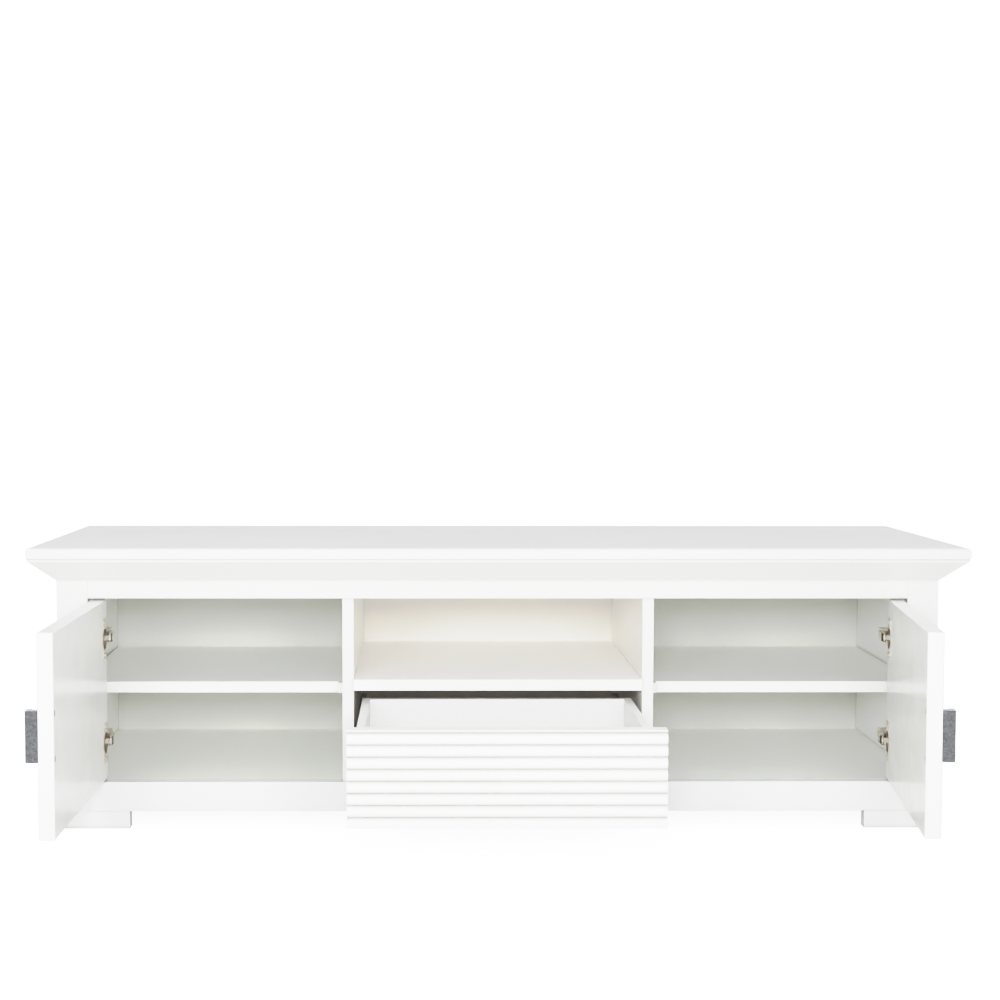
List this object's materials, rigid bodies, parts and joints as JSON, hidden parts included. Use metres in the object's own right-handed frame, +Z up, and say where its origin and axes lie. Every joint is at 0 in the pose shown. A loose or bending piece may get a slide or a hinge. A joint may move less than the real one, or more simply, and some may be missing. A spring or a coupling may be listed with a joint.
{
  "type": "tv stand",
  "caption": "Low TV stand with two hinged inset doors, a shelf behind each, an open niche and a ribbed drawer on runners.",
  "frame": {"origin": "on the floor under the middle of the top panel", "axes": "+X along the front to the right seen from the front, +Y from the front to the wall, +Z up"},
  "size_m": [1.5, 0.8449, 0.458],
  "materials": {
    "lacquer": "white satin lacquer on board",
    "door_lacquer": "white semi-gloss lacquer",
    "ribbed_lacquer": "white satin lacquer on a ribbed face",
    "interior_board": "white melamine-faced board, fine texture",
    "back_board": "white-faced hardboard",
    "drawer_lining": "white foil-faced board",
    "white_plastic": "moulded, satin",
    "nickel": "bright nickel plate",
    "galvanised_zinc": "mottled galvanised grey",
    "screw_steel": "zinc plated",
    "runner_steel": "zinc-plated rolled steel"
  },
  "bodies": {
    "cabinet": {"top_panel": "lacquer", "top_screws": "screw_steel", "crown_front": "lacquer", "crown_left": "lacquer", "crown_right": "lacquer", "frieze_rail": "lacquer", "bottom_rail": "lacquer", "rear_rail": "lacquer", "stile_left": "lacquer", "stile_right": "lacquer", "side_panel_left": "lacquer", "side_panel_right": "lacquer", "bottom_panel": "interior_board", "sub_top": "interior_board", "back_panel": "back_board", "back_screws": "screw_steel", "divider_left": "lacquer", "divider_right": "lacquer", "centre_shelf": "interior_board", "side_shelf_left": "interior_board", "side_shelf_right": "interior_board", "shelf_pins": "nickel", "foot_front_left": "lacquer", "foot_front_right": "lacquer", "foot_rear_left": "lacquer", "foot_rear_right": "lacquer", "door_stop_left": "white_plastic", "door_stop_right": "white_plastic", "hinge_arms_left": "nickel", "hinge_arms_right": "nickel", "hinge_plates_left": "nickel", "hinge_plates_right": "nickel", "arm_screws": "nickel", "plate_screws": "nickel", "hinge_blocks": "interior_board", "runner_cabinet_left": "runner_steel", "runner_cabinet_right": "runner_steel", "runner_cabinet_screws": "screw_steel"},
    "left_door": {"door_left": "door_lacquer", "hinge_cups_left": "nickel", "cup_screws_left": "nickel", "handle_left": "galvanised_zinc", "handle_screws_left": "screw_steel"},
    "right_door": {"door_right": "door_lacquer", "hinge_cups_right": "nickel", "cup_screws_right": "nickel", "handle_right": "galvanised_zinc", "handle_screws_right": "screw_steel"},
    "left_hinge_links": {"hinge_links_left": "nickel"},
    "right_hinge_links": {"hinge_links_right": "nickel"},
    "drawer": {"drawer_front": "ribbed_lacquer", "drawer_side_left": "drawer_lining", "drawer_side_right": "drawer_lining", "drawer_back": "drawer_lining", "drawer_bottom": "drawer_lining", "runner_drawer_left": "runner_steel", "runner_drawer_right": "runner_steel", "runner_drawer_screws": "screw_steel"},
    "runner_middles": {"runner_middle_left": "runner_steel", "runner_middle_right": "runner_steel"}
  },
  "joints": [
    {"name": "left_door_hinge", "type": "hinge", "parent": "cabinet", "child": "left_door", "pos_m": [-0.6475, -0.2014, 0.225], "axis": [0, 0, 1], "range_deg": [-3.5, 90]},
    {"name": "right_door_hinge", "type": "hinge", "parent": "cabinet", "child": "right_door", "pos_m": [0.6475, -0.2014, 0.225], "axis": [0, 0, -1], "range_deg": [-10.9, 82.6]},
    {"name": "left_link_swing", "type": "hinge", "parent": "cabinet", "child": "left_hinge_links", "pos_m": [-0.628, -0.194, 0.225], "axis": [0, 0, 1], "range_deg": [-59.5, 2.4]},
    {"name": "right_link_swing", "type": "hinge", "parent": "cabinet", "child": "right_hinge_links", "pos_m": [0.628, -0.194, 0.225], "axis": [0, 0, -1], "range_deg": [-54.6, 7.3]},
    {"name": "drawer_slide", "type": "slide", "parent": "cabinet", "child": "drawer", "axis": [0, -1, 0], "range_m": [-0.323, 0.022]},
    {"name": "runner_middle_slide", "type": "slide", "parent": "cabinet", "child": "runner_middles", "axis": [0, -1, 0], "range_m": [-0.1615, 0.011]}
  ],
  "couplings": [
    {"joint": "left_link_swing", "follows": "left_door_hinge", "ratio": -0.66},
    {"joint": "right_link_swing", "follows": "right_door_hinge", "ratio": -0.66},
    {"joint": "runner_middle_slide", "follows": "drawer_slide", "ratio": 0.5}
  ]
}
